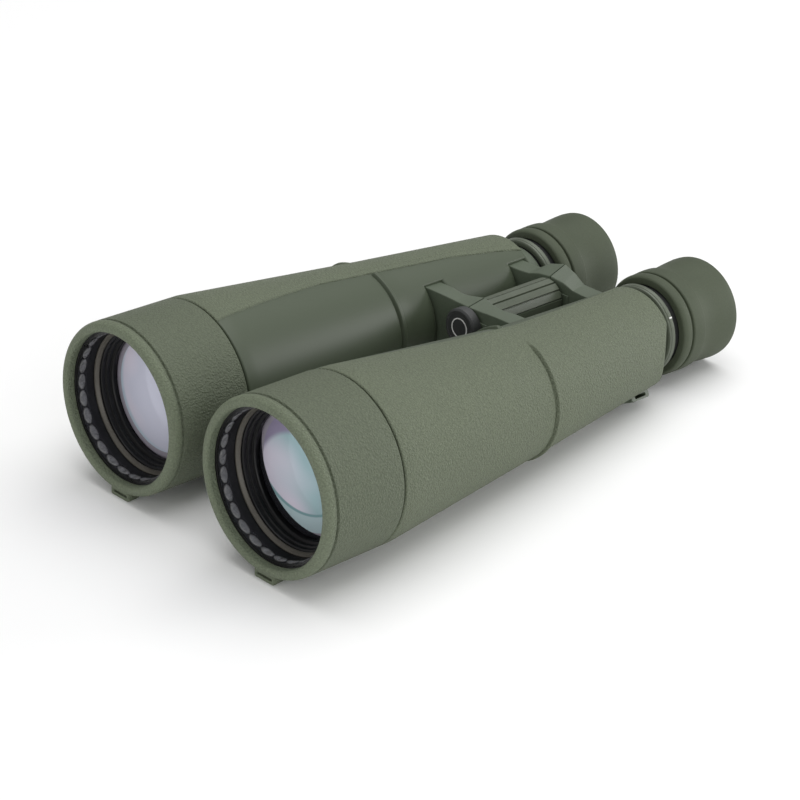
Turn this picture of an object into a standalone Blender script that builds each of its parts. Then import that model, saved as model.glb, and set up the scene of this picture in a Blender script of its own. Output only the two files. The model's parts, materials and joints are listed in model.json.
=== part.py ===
"""Large roof-prism binoculars: open double bridge, centre focus, twist-up eyecups.

Everything is laid out in millimetres along the barrels: x across, y back from the front plane,
z up from the plane that holds the barrel axes.  The left barrel of the user is at +x.  A carrier
empty then leans the whole thing back onto its tether lugs and eyecup rims, as it lies on a table,
and puts the middle of its underside at the origin.
"""

import math

import bmesh
import bpy
import numpy as np
from mathutils import Matrix, Vector

MM = 0.001
GAP = 0.3

# Barrels: a straight front, a long taper, then the prism housing, whose centre moves inwards.
OBJECTIVE_X = 47.45
EYEPIECE_X = 37.35
BARREL_R = 39.3
HOOD_END = 42.25
TAPER_START = 48.6
TAPER_SLOPE = 0.0951
RIB_Y = 144.9
RIB_HEIGHT = 1.0
HOUSING_START = 152.8
HOUSING_SLOPE = 0.0575
HOUSING_SHIFT = 0.067
BODY_END = 235.5
SHOULDER_Y = 229.0
NECK_END = 241.9
NECK_R = 20.0
ARMOUR_START = 42.75
ARMOUR_WALL = 1.8
CASTING_WALL = 2.0
CASTING_INSET = ARMOUR_WALL + GAP
HOLLOW_INSET = CASTING_INSET + CASTING_WALL
OCULAR_BORE_R = 16.0
# The armour's rear outer corner is cut along a plane: 0.72 x + 0.69 y = CORNER_CUT
CORNER_CUT = 206.8

# Hinge and centre focus
HINGE_Z = 10.6
FRONT_BRIDGE = (167.0, 177.7)
REAR_BRIDGE = (222.5, 232.9)
PIN_R = 2.5
HUB_R = 6.9
HUB_CLEAR_R = 7.5
WHEEL_R = 9.5
FOCUS_ROOM = (170.95, 176.35)

# Objective group
LIP_R = 34.5
TUBE_R = 36.9
BORE_R = 33.2
SEAT_R = 34.9
LENS_R = 28.9
LENS_Y = 21.2

# Eyepiece and eyecup
OCULAR_R = 18.4
BASE_RING = (243.0, 246.9)
EYECUP_START = 249.4
EYECUP_END = 289.3
EYECUP_R = 25.2

# The two points that the binoculars lie on, seen from the side: tether lug and eyecup rim
LUG_BOTTOM = -42.3
LUG_Y = (2.0, 8.0)
RIM_REST_Y = 285.7
LEAN = math.atan((-EYECUP_R - LUG_BOTTOM) / (RIM_REST_Y - LUG_Y[1]))

LARGE = 28
MEDIUM = 20
SMALL = 14

SIDES = {"left": 1, "right": -1}


def barrel_radius(y):
    """Outer radius of the armoured barrel at a station."""
    radius = BARREL_R - TAPER_SLOPE * max(0.0, min(y, HOUSING_START) - TAPER_START)
    return radius - HOUSING_SLOPE * max(0.0, y - HOUSING_START)


def barrel_x(y):
    """Sideways place of the barrel's centre at a station, for the left barrel."""
    return OBJECTIVE_X - HOUSING_SHIFT * max(0.0, y - HOUSING_START)


# Strap lugs: middle of the loop across the barrel, and how far out from straight down it points
STRAP_X = barrel_x(224.6)
STRAP_ANGLE = math.radians(26)


def finish(name, colour, roughness, metallic=0.0, transmission=0.0):
    material = bpy.data.materials.new(name)
    material.use_nodes = True
    shader = material.node_tree.nodes["Principled BSDF"]
    shader.inputs["Base Color"].default_value = (*colour, 1.0)
    shader.inputs["Roughness"].default_value = roughness
    shader.inputs["Metallic"].default_value = metallic
    shader.inputs["Transmission Weight"].default_value = transmission
    material.diffuse_color = (*colour, 1.0)
    return material


def piece(name, mesh_data, material, pivot=(0.0, 0.0, 0.0)):
    """Make one object from a bmesh in millimetres, with its origin at pivot, on the carrier."""
    bmesh.ops.recalc_face_normals(mesh_data, faces=mesh_data.faces)
    bmesh.ops.translate(mesh_data, verts=mesh_data.verts, vec=-Vector(pivot))
    bmesh.ops.scale(mesh_data, verts=mesh_data.verts, vec=(MM, MM, MM))
    mesh = bpy.data.meshes.new(name)
    mesh_data.to_mesh(mesh)
    mesh_data.free()
    mesh.shade_smooth()
    mesh.set_sharp_from_angle(angle=math.radians(35))
    if material:
        mesh.materials.append(material)
    made = bpy.data.objects.new(name, mesh)
    bpy.context.collection.objects.link(made)
    made.parent = carrier
    made.location = Vector(pivot) * MM
    return made


def tool(name, mesh_data):
    """A helper solid for a Boolean, left out of the model itself."""
    made = piece(name, mesh_data, None)
    made.hide_render = True
    made.display_type = "WIRE"
    return made


def shape_with(made, other, operation):
    step = made.modifiers.new(other.name, "BOOLEAN")
    step.operation = operation
    step.object = other
    step.solver = "EXACT"


def circles(rings, segments=LARGE):
    """Skin circles (x, y, z, radius) in order.  Ends of radius 0 are poles; without poles the
    last circle joins the first, which makes a tube wall."""
    made = bmesh.new()
    angles = np.arange(segments) * 2 * math.pi / segments
    loops = []
    for x, y, z, radius in rings:
        if radius == 0:
            loops.append([made.verts.new((x, y, z))])
        else:
            loops.append([made.verts.new((x + radius * math.cos(a), y, z + radius * math.sin(a)))
                          for a in angles])
    has_poles = len(loops[0]) == 1
    count = len(loops) - 1 if has_poles else len(loops)
    for index in range(count):
        near, far = loops[index], loops[(index + 1) % len(loops)]
        for k in range(segments):
            nxt = (k + 1) % segments
            corners = [near[k % len(near)], near[nxt % len(near)], far[nxt % len(far)], far[k % len(far)]]
            made.faces.new(list(dict.fromkeys(corners)))
    return made


def turned(profile, x, z=0.0, segments=LARGE):
    """A turned shape: (y, radius) points spun about a line along y."""
    return circles([(x, y, z, radius) for y, radius in profile], segments)


def disc(y0, y1, radius, x, z=0.0, segments=MEDIUM):
    return turned([(y0, 0), (y0, radius), (y1, radius), (y1, 0)], x, z, segments)


def sleeve(y0, y1, outer, inner, x, z=0.0, segments=MEDIUM):
    return turned([(y0, outer), (y1, outer), (y1, inner), (y0, inner)], x, z, segments)


def slab(front, rear, y0, y1):
    """A block between two outlines of (x, z) points, at y0 and y1."""
    made = bmesh.new()
    near = [made.verts.new((x, y0, z)) for x, z in front]
    far = [made.verts.new((x, y1, z)) for x, z in rear]
    made.faces.new(near)
    made.faces.new(far)
    for k in range(len(near)):
        nxt = (k + 1) % len(near)
        made.faces.new((near[k], near[nxt], far[nxt], far[k]))
    return made


def box(x0, x1, y0, y1, z0, z1):
    outline = [(x0, z0), (x1, z0), (x1, z1), (x0, z1)]
    return slab(outline, outline, y0, y1)


def wedge(points):
    """The closed body that wraps a set of corner points."""
    made = bmesh.new()
    for point in points:
        made.verts.new(point)
    wrapped = bmesh.ops.convex_hull(made, input=made.verts)
    spare = [item for item in wrapped["geom_interior"] if isinstance(item, bmesh.types.BMVert)]
    bmesh.ops.delete(made, geom=spare, context="VERTS")
    return made


def lens(front_vertex, rear_vertex, front_curve, rear_curve, radius, x, segments=MEDIUM):
    """A lens from its vertices and its radii of curvature, which are positive when the surface
    bulges towards -y, as the front of a positive lens does."""
    def surface(vertex, curve, share):
        height = radius * share
        return vertex + height * height / (2 * curve), height
    front = [surface(front_vertex, front_curve, share) for share in (0.0, 0.5, 1.0)]
    rear = [surface(rear_vertex, rear_curve, share) for share in (1.0, 0.5, 0.0)]
    return turned(front + rear, x, 0.0, segments)


def make_hood(side, x):
    """Rubber hood with a rounded lip, and the tether lug moulded under it."""
    profile = [(4.4, BARREL_R), (1.3, 38.7), (0.0, 37.0), (0.2, 35.4), (1.2, LIP_R), (2.3, LIP_R),
               (2.3, TUBE_R + GAP), (HOOD_END, TUBE_R + GAP), (HOOD_END, BARREL_R)]
    hood = piece(f"{side}_objective_hood", turned(profile, x), rubber)
    low, high = LUG_Y
    floor_drop = (high - low) * math.tan(LEAN)
    lug_front = [(x - 6, -38.2), (x + 6, -38.2), (x + 6, -41.6), (x + 5.2, LUG_BOTTOM - floor_drop),
                 (x - 5.2, LUG_BOTTOM - floor_drop), (x - 6, -41.6)]
    lug_rear = [(px, LUG_BOTTOM if z < -42 else z) for px, z in lug_front]
    shape_with(hood, tool(f"{side}_lug_tool", slab(lug_front, lug_rear, low, high)), "UNION")
    slot = box(x - 4.6, x + 4.6, low - 1, high + 1, -41.2, -40.0)
    shape_with(hood, tool(f"{side}_lug_slot_tool", slot), "DIFFERENCE")


def make_objective(side, x):
    """Objective tube with its grip ring and stray-light ring, and the cell with its doublet."""
    tube = [(2.6, TUBE_R), (42.9, TUBE_R), (42.9, 34.6), (57.0, 34.6), (57.0, BORE_R), (9.4, BORE_R),
            (9.4, 34.2), (2.6, 34.2)]
    piece(f"{side}_objective_tube", turned(tube, x), black_metal)
    grip = [(5.0, 33.9), (9.1, 33.9), (9.1, 32.6), (7.2, 32.2), (5.0, 32.9)]
    piece(f"{side}_grip_ring", turned(grip, x), black_metal)
    stray = [(14.4, 32.9), (15.7, 32.9), (15.7, 31.8), (14.4, 32.2)]
    piece(f"{side}_stray_light_ring", turned(stray, x), grey_metal)
    cell = [(16.2, 32.9), (36.0, 32.9), (36.0, 29.2), (23.0, 29.2), (23.0, 28.0), (22.2, 28.0),
            (16.2, 31.2)]
    piece(f"{side}_objective_cell", turned(cell, x), black_metal)
    piece(f"{side}_crown_element", lens(LENS_Y, 29.2, 165, -130, LENS_R, x), coated_glass)
    piece(f"{side}_flint_element", lens(29.5, 32.5, -130, -700, LENS_R, x), coated_glass)
    piece(f"{side}_objective_lock_ring", sleeve(33.2, 35.6, LENS_R, 27.2, x), black_metal)


def barrel_wall(stations, inset, sign):
    return [(sign * barrel_x(y), y, 0.0, barrel_radius(y) - inset) for y in stations]


def make_armour(side, sign):
    """Rubber skin of the barrel, with its raised rib, open where the bridge arms come through."""
    outside = barrel_wall([ARMOUR_START, TAPER_START, RIB_Y - 1.6], 0, sign)
    outside += barrel_wall([RIB_Y], -RIB_HEIGHT, sign)
    outside += barrel_wall([RIB_Y + 2.0, HOUSING_START, BODY_END - 1.9], 0, sign)
    outside += barrel_wall([BODY_END], 1.4, sign)
    inside = barrel_wall([BODY_END, HOUSING_START, TAPER_START, ARMOUR_START], ARMOUR_WALL, sign)
    armour = piece(f"{side}_barrel_armour", circles(outside + inside), rubber)
    for name, (y0, y1), (low, high) in (("front", FRONT_BRIDGE, (-7.0, 20.6)),
                                        ("rear", REAR_BRIDGE, (-6.0, 18.2))):
        opening = box(sign * 4, sign * 33, y0 - 0.35, y1 + 0.35, low - 0.35, high + 0.35)
        shape_with(armour, tool(f"{side}_{name}_window_tool", opening), "DIFFERENCE")
    corner = [(sign * x, y, z) for x in (52.0, 80.0) for z in (-40.0, 40.0)
              for y in ((CORNER_CUT - 0.72 * x) / 0.69, 250.0)]
    shape_with(armour, tool(f"{side}_corner_tool", wedge(corner)), "DIFFERENCE")
    lug_window = box(-5.8, 5.8, 218.0, 231.2, -30.0, -20.0)
    bmesh.ops.rotate(lug_window, verts=lug_window.verts, matrix=strap_turn(sign))
    bmesh.ops.translate(lug_window, verts=lug_window.verts, vec=(sign * STRAP_X, 0, 0))
    shape_with(armour, tool(f"{side}_lug_window_tool", lug_window), "DIFFERENCE")


def strap_turn(sign):
    """Turns a lug drawn straight under the barrel out to its place on the lower outer side."""
    return Matrix.Rotation(-sign * STRAP_ANGLE, 3, "Y")


def arm_outline(sign, top_centre, top_barrel, low_barrel):
    """One bridge arm seen from the front, from the middle line out into its barrel."""
    points = [(0.15, top_centre), (9.0, top_centre - 0.2), (20.0, top_barrel), (34.0, top_barrel),
              (34.0, low_barrel), (18.0, low_barrel), (4.0, HINGE_Z - 6.6), (0.15, HINGE_Z)]
    return [(sign * x, z) for x, z in points]


def knuckle_outline(sign):
    """A round hub with a tab that reaches out into its arm."""
    half = 3.7
    start = math.asin(half / HUB_R)
    turn = np.linspace(start, 2 * math.pi - start, MEDIUM)
    outline = [(sign * HUB_R * math.cos(a), HINGE_Z + HUB_R * math.sin(a)) for a in turn]
    return outline + [(sign * 10.5, HINGE_Z - half), (sign * 10.5, HINGE_Z + half)]


def make_arm(side, name, sign, bridge, front, rear, knuckles):
    """A bridge arm: a web under a sloping top plate, cleared around the hinge, with knuckles."""
    y0, y1 = bridge
    arm = tool(f"{side}_{name}_arm_tool", slab(front, rear, y0, y1))
    shape_with(arm, tool(f"{side}_{name}_clear_tool",
                         disc(y0 - 1, y1 + 1, HUB_CLEAR_R, 0, HINGE_Z)), "DIFFERENCE")
    inside = barrel_wall([y0 - 1, y1 + 1], HOLLOW_INSET - 1.0, sign)
    caps = [(inside[0][0], y0 - 1, 0.0, 0), (inside[1][0], y1 + 1, 0.0, 0)]
    shape_with(arm, tool(f"{side}_{name}_trim_tool", circles([caps[0], *inside, caps[1]])), "DIFFERENCE")
    outline = knuckle_outline(sign)
    for index, (k0, k1) in enumerate(knuckles):
        knuckle = slab(outline, outline, k0, k1)
        shape_with(arm, tool(f"{side}_{name}_knuckle_tool_{index}", knuckle), "UNION")
    return arm


def make_casting(side, sign):
    """The main casting of one half: prism housing, taper and both bridge arms in one piece."""
    left = sign > 0
    start = 43.2
    floor_y = 238.6
    x0 = sign * OBJECTIVE_X
    xe = sign * EYEPIECE_X
    outside = barrel_wall([start, TAPER_START, HOUSING_START, SHOULDER_Y], CASTING_INSET, sign)
    outside += [(sign * 40.4, BODY_END - 0.1, 0.0, 21.0), (xe, NECK_END, 0.0, NECK_R)]
    bore = [(xe, NECK_END, 0.0, OCULAR_BORE_R), (xe, floor_y, 0.0, OCULAR_BORE_R)]
    hollow = [(sign * 38.3, floor_y, 0.0, 17.2), (sign * 40.6, 234.6, 0.0, 18.9)]
    hollow += barrel_wall([SHOULDER_Y - 1.0, HOUSING_START, 57.5], HOLLOW_INSET, sign)
    seat = [(x0, 57.5, 0.0, SEAT_R), (x0, start, 0.0, SEAT_R)]
    casting = piece(f"{side}_body_casting", circles(outside + bore + hollow + seat), green_paint)
    front_knuckles = [(167.0, 168.7), (176.65, 177.7)] if left else [(169.0, 170.65)]
    rear_knuckles = [(222.5, 225.6), (229.8, 232.9)] if left else [(225.9, 229.5)]
    front = make_arm(side, "front", sign, FRONT_BRIDGE, arm_outline(sign, 19.6, 20.4, -7.0),
                     arm_outline(sign, 21.6, 20.0, -7.0), front_knuckles)
    rear = make_arm(side, "rear", sign, REAR_BRIDGE, arm_outline(sign, 20.6, 17.6, -6.0),
                    arm_outline(sign, 24.4, 17.8, -6.0), rear_knuckles)
    shape_with(casting, front, "UNION")
    shape_with(casting, rear, "UNION")
    room = box(sign * 5.0, sign * 30.0, *FOCUS_ROOM, HINGE_Z - 3.8, HINGE_Z + 3.8)
    shape_with(casting, tool(f"{side}_focus_room_tool", room), "DIFFERENCE")
    bore_r = PIN_R + GAP if left else PIN_R + 4 * GAP
    shape_with(casting, tool(f"{side}_pin_bore_tool",
                             disc(160.0, 240.0, bore_r, 0, HINGE_Z, SMALL)), "DIFFERENCE")
    if left:
        screw_way = disc(176.4, 178.5, 4.1, 0, HINGE_Z, SMALL)
        shape_with(casting, tool("left_screw_way_tool", screw_way), "DIFFERENCE")


def make_strap_lug(side, sign):
    """Metal strap loop on a foot, let into the armour of the housing's lower outer side."""
    loop = box(-5.4, 5.4, 218.4, 230.8, -27.6, -24.0)
    bar_way = box(-6.5, 6.5, 221.0, 228.2, -26.3, -24.9)
    for mesh_data in (loop, bar_way):
        bmesh.ops.rotate(mesh_data, verts=mesh_data.verts, matrix=strap_turn(sign))
        bmesh.ops.translate(mesh_data, verts=mesh_data.verts, vec=(sign * STRAP_X, 0, 0))
    lug = piece(f"{side}_strap_lug", loop, green_paint)
    shape_with(lug, tool(f"{side}_strap_way_tool", bar_way), "DIFFERENCE")


def make_focus_group(side, sign):
    """The focusing lens in its sliding cell, and the arm that the centre screw drives it with."""
    x = sign * OBJECTIVE_X
    cell = [(167.5, 21.2), (179.0, 21.2), (179.0, 19.3), (177.2, 18.4), (168.8, 18.4), (168.8, 19.3),
            (167.5, 19.3)]
    piece(f"{side}_focus_cell", turned(cell, x, 0.0, MEDIUM), black_metal)
    piece(f"{side}_focus_lens", lens(171.2, 174.2, -90, 120, 18.1, x), coated_glass)
    y0 = 172.35 if sign > 0 else 173.75
    y1 = y0 + 1.1
    arm = piece(f"{side}_focus_arm", sleeve(y0, y1, 6.7, 5.3, 0, HINGE_Z, SMALL), grey_metal)
    bar = box(sign * 6.0, sign * 27.6, y0, y1, HINGE_Z - 2.4, HINGE_Z + 2.4)
    shape_with(arm, tool(f"{side}_focus_bar_tool", bar), "UNION")
    cut = disc(y0 - 1, y1 + 1, 21.5, x)
    shape_with(arm, tool(f"{side}_focus_bar_end_tool", cut), "DIFFERENCE")


def make_prisms(side, sign):
    """Abbe-Koenig pair in its cradle: a plain prism and a roof prism, stepping the axis inwards."""
    def corners(y_low, y_high, x, half, low, high):
        return [(sign * (x - half), y_low, low), (sign * (x + half), y_low, low),
                (sign * (x - half), y_high, high), (sign * (x + half), y_high, high)]
    half = 10.2
    plain = corners(184.0, 184.0, 44.6, half, -half, half)
    plain += corners(212.0, 199.0, 43.2, half, -half, half)
    piece(f"{side}_plain_prism", wedge(plain), clear_glass)
    roof = corners(212.4, 199.4, 41.8, half, -half, half)
    roof += corners(234.4, 234.4, 40.2, half, -half, half - 1.5)
    roof += [(sign * 41.4, 205.0, half + 2.6), (sign * 40.4, 229.0, half + 1.6)]
    piece(f"{side}_roof_prism", wedge(roof), clear_glass)

    def cradle(x):
        wide, thin, low, rise = half + 1.8, half + 0.3, -half - 2.0, -2.0
        return [(sign * (x + dx), z) for dx, z in
                ((-wide, low), (wide, low), (wide, rise), (thin, rise), (thin, -half - 0.3),
                 (-thin, -half - 0.3), (-thin, rise), (-wide, rise))]
    made = slab(cradle(44.6), cradle(43.6), 183.0, 203.5)
    piece(f"{side}_prism_cradle", made, black_metal)


def make_eyepiece(side, sign):
    """Eyepiece tube with its lenses, the index ring at its foot and the twist-up eyecup."""
    x = sign * EYEPIECE_X
    tube_r = OCULAR_BORE_R - GAP
    tube = [(235.0, tube_r), (242.7, tube_r), (242.7, OCULAR_R), (268.0, OCULAR_R), (268.0, 13.0),
            (266.8, 13.0), (266.8, 14.3), (235.0, 14.3)]
    piece(f"{side}_eyepiece_tube", turned(tube, x, 0.0, MEDIUM), black_metal)
    cell = [(240.0, 14.0), (249.4, 14.0), (249.4, 11.6), (248.4, 11.6), (248.4, 12.5), (240.0, 12.5)]
    piece(f"{side}_field_lens_cell", turned(cell, x, 0.0, MEDIUM), black_metal)
    piece(f"{side}_field_lens", lens(241.6, 246.6, 60, -60, 12.2, x, SMALL), clear_glass)
    piece(f"{side}_eye_lens", lens(258.6, 266.0, 34, -90, 14.0, x, SMALL), coated_glass)
    ring = [(BASE_RING[0], 20.4), (BASE_RING[0] + 0.8, 21.6), (BASE_RING[1] - 0.6, 21.9),
            (BASE_RING[1], 21.3), (BASE_RING[1], OCULAR_R + GAP), (BASE_RING[0], OCULAR_R + GAP)]
    name = "left_dioptre_ring" if sign > 0 else "right_base_ring"
    piece(name, turned(ring, x), ring_paint, (x, BASE_RING[0], 0))
    cam = sleeve(250.0, 267.6, 20.2, OCULAR_R + GAP, x)
    piece(f"{side}_eyecup_cam", cam, black_plastic, (x, EYECUP_START, 0))
    cup = [(EYECUP_START, 22.8), (253.9, 25.0), (261.9, EYECUP_R), (273.6, 24.5), (RIM_REST_Y, EYECUP_R),
           (EYECUP_END, 24.3), (287.0, 21.6), (273.2, 18.0), (272.2, 14.2), (270.4, 14.2),
           (270.4, 20.6), (EYECUP_START, 20.6)]
    piece(f"{side}_eyecup", turned(cup, x), eyecup_rubber, (x, EYECUP_START, 0))


def make_hinge_and_focus():
    """The parts on the middle line: hinge pin, tripod insert and its cap, focus wheel and screw."""
    def middle(profile, segments=MEDIUM):
        return turned(profile, 0, HINGE_Z, segments)
    pin = [(167.2, 0), (167.2, PIN_R), (234.6, PIN_R), (234.6, 0)]
    piece("hinge_pin", middle(pin, SMALL), grey_metal)
    insert = [(162.9, 7.2), (166.7, 7.2), (166.7, 3.1), (162.9, 3.1)]
    piece("tripod_insert", middle(insert), grey_metal)
    cap = [(161.4, 0), (161.4, 8.4), (162.3, 9.3), (166.6, 9.3), (166.6, 7.5), (162.6, 7.5), (162.6, 0)]
    piece("hinge_cap", middle(cap), black_plastic, (0, 161.4, HINGE_Z))
    nut = [(233.2, 6.4), (236.0, 6.4), (236.6, 5.6), (236.6, PIN_R + GAP), (233.2, PIN_R + GAP)]
    piece("hinge_nut", middle(nut), black_metal)
    piece("front_hinge_bush", sleeve(169.0, 170.65, 3.4, PIN_R + GAP, 0, HINGE_Z, SMALL), brass)
    piece("rear_hinge_bush", sleeve(225.9, 229.5, 3.4, PIN_R + GAP, 0, HINGE_Z, SMALL), brass)
    piece("focus_screw", sleeve(170.95, 221.9, 3.8, PIN_R + GAP, 0, HINGE_Z, SMALL), brass,
          (0, 200.0, HINGE_Z))
    piece("focus_nut", sleeve(172.35, 174.85, 5.0, 4.1, 0, HINGE_Z, SMALL), brass)
    core = [(178.2, 7.8), (222.0, 7.8), (222.0, 4.1), (178.2, 4.1)]
    piece("focus_wheel_core", middle(core), black_metal, (0, 200.0, HINGE_Z))
    piece("focus_wheel_grip", wheel_grip(), wheel_rubber, (0, 200.0, HINGE_Z))


def wheel_grip(ribs=14):
    """Ribbed grip: broad lengthwise flats with a narrow groove between each pair."""
    angles = []
    radii = []
    for k in range(ribs):
        for share, drop in ((-0.38, 0.0), (0.0, -0.15), (0.38, 0.0), (0.5, 1.0)):
            angles.append((k + share) * 2 * math.pi / ribs)
            radii.append(WHEEL_R - drop)
    outline = [(r * math.cos(a), HINGE_Z + r * math.sin(a)) for a, r in zip(angles, radii)]
    inner = [(8.1 * math.cos(a), HINGE_Z + 8.1 * math.sin(a)) for a in angles]
    made = bmesh.new()
    loops = [[made.verts.new((x, y, z)) for x, z in points]
             for y, points in ((178.2, outline), (222.0, outline), (222.0, inner), (178.2, inner))]
    for index, loop in enumerate(loops):
        following = loops[(index + 1) % len(loops)]
        for k in range(len(loop)):
            nxt = (k + 1) % len(loop)
            made.faces.new((loop[k], loop[nxt], following[nxt], following[k]))
    return made


def set_down():
    """Lean the carrier onto lugs and eyecups, and put the middle of the underside at the origin."""
    carrier.rotation_euler = (-LEAN, 0, 0)
    bpy.context.view_layer.update()
    solids = [made for made in bpy.data.objects if made.type == "MESH" and not made.hide_render]
    corners = np.array([made.matrix_world @ vert.co for made in solids for vert in made.data.vertices])
    low_corner = corners.min(axis=0)
    high_corner = corners.max(axis=0)
    lug_point = carrier.matrix_world @ Vector((0, LUG_Y[1] * MM, LUG_BOTTOM * MM))
    floor_z = min(low_corner[2], lug_point.z)
    middle = (low_corner + high_corner) / 2
    carrier.location = (-middle[0], -middle[1], -floor_z)


for old in list(bpy.data.objects):
    bpy.data.objects.remove(old, do_unlink=True)

carrier = bpy.data.objects.new("carrier", None)
bpy.context.collection.objects.link(carrier)

rubber = finish("armour rubber", (0.16, 0.19, 0.14), 0.8)
eyecup_rubber = finish("eyecup rubber", (0.13, 0.17, 0.12), 0.6)
wheel_rubber = finish("wheel rubber", (0.11, 0.14, 0.10), 0.55)
green_paint = finish("green paint", (0.14, 0.18, 0.13), 0.5)
ring_paint = finish("ring paint", (0.22, 0.25, 0.19), 0.45)
black_metal = finish("black anodised metal", (0.012, 0.012, 0.013), 0.4, 0.6)
black_plastic = finish("black plastic", (0.02, 0.022, 0.022), 0.5)
grey_metal = finish("grey metal", (0.2, 0.19, 0.17), 0.4, 0.8)
brass = finish("brass", (0.6, 0.45, 0.18), 0.3, 1.0)
coated_glass = finish("coated glass", (0.55, 0.62, 0.8), 0.05, 0.0, 0.9)
clear_glass = finish("clear glass", (0.9, 0.93, 0.95), 0.05, 0.0, 1.0)

for side_name, side_sign in SIDES.items():
    make_hood(side_name, side_sign * OBJECTIVE_X)
    make_objective(side_name, side_sign * OBJECTIVE_X)
    make_armour(side_name, side_sign)
    make_casting(side_name, side_sign)
    make_strap_lug(side_name, side_sign)
    make_focus_group(side_name, side_sign)
    make_prisms(side_name, side_sign)
    make_eyepiece(side_name, side_sign)
make_hinge_and_focus()
set_down()
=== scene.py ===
import json
import math

import bmesh
import bpy
import numpy as np
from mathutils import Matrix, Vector


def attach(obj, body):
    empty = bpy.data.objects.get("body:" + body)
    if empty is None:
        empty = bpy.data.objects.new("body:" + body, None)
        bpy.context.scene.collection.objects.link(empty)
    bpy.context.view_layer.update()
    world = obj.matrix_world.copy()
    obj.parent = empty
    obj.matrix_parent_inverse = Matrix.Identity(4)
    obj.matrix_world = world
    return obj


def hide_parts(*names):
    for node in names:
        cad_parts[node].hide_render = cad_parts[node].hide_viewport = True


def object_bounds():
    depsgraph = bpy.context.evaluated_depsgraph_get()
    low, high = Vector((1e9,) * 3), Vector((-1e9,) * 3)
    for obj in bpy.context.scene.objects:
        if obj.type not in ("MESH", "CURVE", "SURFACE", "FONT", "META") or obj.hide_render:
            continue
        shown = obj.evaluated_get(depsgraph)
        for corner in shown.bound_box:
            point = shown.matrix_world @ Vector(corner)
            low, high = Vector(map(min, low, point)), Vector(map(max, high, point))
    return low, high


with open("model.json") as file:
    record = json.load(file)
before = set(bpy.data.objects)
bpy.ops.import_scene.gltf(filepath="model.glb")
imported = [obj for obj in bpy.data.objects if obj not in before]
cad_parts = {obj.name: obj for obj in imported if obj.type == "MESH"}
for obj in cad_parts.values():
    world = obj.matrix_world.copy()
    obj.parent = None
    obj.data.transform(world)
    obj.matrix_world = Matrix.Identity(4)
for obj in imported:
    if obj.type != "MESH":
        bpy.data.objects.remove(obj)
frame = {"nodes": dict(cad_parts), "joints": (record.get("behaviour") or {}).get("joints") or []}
cad_low, cad_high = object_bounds()
nodes = frame["nodes"]
sides = {"left": 1, "right": -1}


# ---------------------------------------------------------------------------------------------
# Objective tubes.  Black anodised light-alloy tubes that carry each front lens group.  They are
# turned, and slide into the front of the casting under the rubber hood.
# ---------------------------------------------------------------------------------------------
OBJECTIVE_X = 47.45
TUBE_R = 36.9
BORE_R = 33.2
HINGE_Z = 10.6
HINGE_MIDDLE_Y = 200.0
MM = 0.001

spacing = next(joint for joint in frame["joints"] if joint["name"] == "eye_spacing")
across = np.array([1.0, 0.0, 0.0])
along = np.array(spacing["axis"]) / np.linalg.norm(spacing["axis"])
upward = np.cross(across, along)
front_middle = np.array(spacing["pos_m"]) - (HINGE_MIDDLE_Y * along + HINGE_Z * upward) * MM


def placed(x, y, z):
    """Points in metres from millimetres on the barrels: x across, y back from the front plane,
    z up from the plane of the two barrel axes.  Point = front middle + x, y and z times the three
    directions."""
    spot = np.stack(np.broadcast_arrays(x, y, z), axis=-1) * MM
    return front_middle + spot[..., :1] * across + spot[..., 1:2] * along + spot[..., 2:] * upward


def eased(corners, reach, steps=5):
    """A closed outline with its corners rounded.  Each corner becomes a quadratic Bezier curve
    from `reach` before it to `reach` after it, at most 45% of the way along an edge."""
    corners = np.asarray(corners, float)
    def part_way(edge):
        length = np.maximum(np.linalg.norm(edge, axis=-1, keepdims=True), 1e-9)
        return corners + edge * np.minimum(reach / length, 0.45)
    start = part_way(np.roll(corners, 1, axis=-2) - corners)[..., None, :]
    end = part_way(np.roll(corners, -1, axis=-2) - corners)[..., None, :]
    t = np.linspace(0, 1, steps)[:, None]
    curve = (1 - t) ** 2 * start + 2 * t * (1 - t) * corners[..., None, :] + t ** 2 * end
    return curve.reshape(*corners.shape[:-2], -1, 2)


def skin(points, looped=True, marks=None):
    """A mesh over a grid of points, rows by columns.  The last column joins the first, and the
    last row joins the first if looped.  Points that fall together, as at a pole, are merged."""
    rows, columns = points.shape[:2]
    index = np.arange(rows * columns).reshape(rows, columns)
    if looped:
        index = np.vstack([index, index[:1]])
    index = np.hstack([index, index[:, :1]])
    quads = np.stack([index[:-1, :-1], index[1:, :-1], index[1:, 1:], index[:-1, 1:]], axis=-1)
    mesh = bpy.data.meshes.new("skin")
    mesh.from_pydata(points.reshape(-1, 3).tolist(), [], quads.reshape(-1, 4).tolist())
    for name, values in (marks or {}).items():
        layer = mesh.attributes.new(name, "FLOAT", "POINT")
        layer.data.foreach_set("value",
                               np.broadcast_to(values, (rows, columns)).ravel().astype(np.float32))
    shell = bmesh.new()
    shell.from_mesh(mesh)
    bmesh.ops.remove_doubles(shell, verts=shell.verts, dist=2e-7)
    bmesh.ops.recalc_face_normals(shell, faces=shell.faces)
    shell.to_mesh(mesh)
    shell.free()
    return mesh


def turned(profile, x, z=0.0, columns=192, ease=0.25, steps=5):
    """A turned part: a closed outline of (y, radius) corners, eased, spun about a line along the
    barrel at x, z.  Point = (x + r cos a, y, z + r sin a).  A radius of 0 is a pole."""
    profile = np.array(profile, float)
    reach = np.where(profile[:, 1] == 0, 0.0, ease)[:, None]
    outline = eased(profile, reach, steps)
    angle = np.arange(columns) * 2 * np.pi / columns
    y, radius = outline[:, :1], outline[:, 1:]
    return skin(placed(x + radius * np.cos(angle), y, z + radius * np.sin(angle)),
                looped=not (profile[:, 1] == 0).any())


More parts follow.
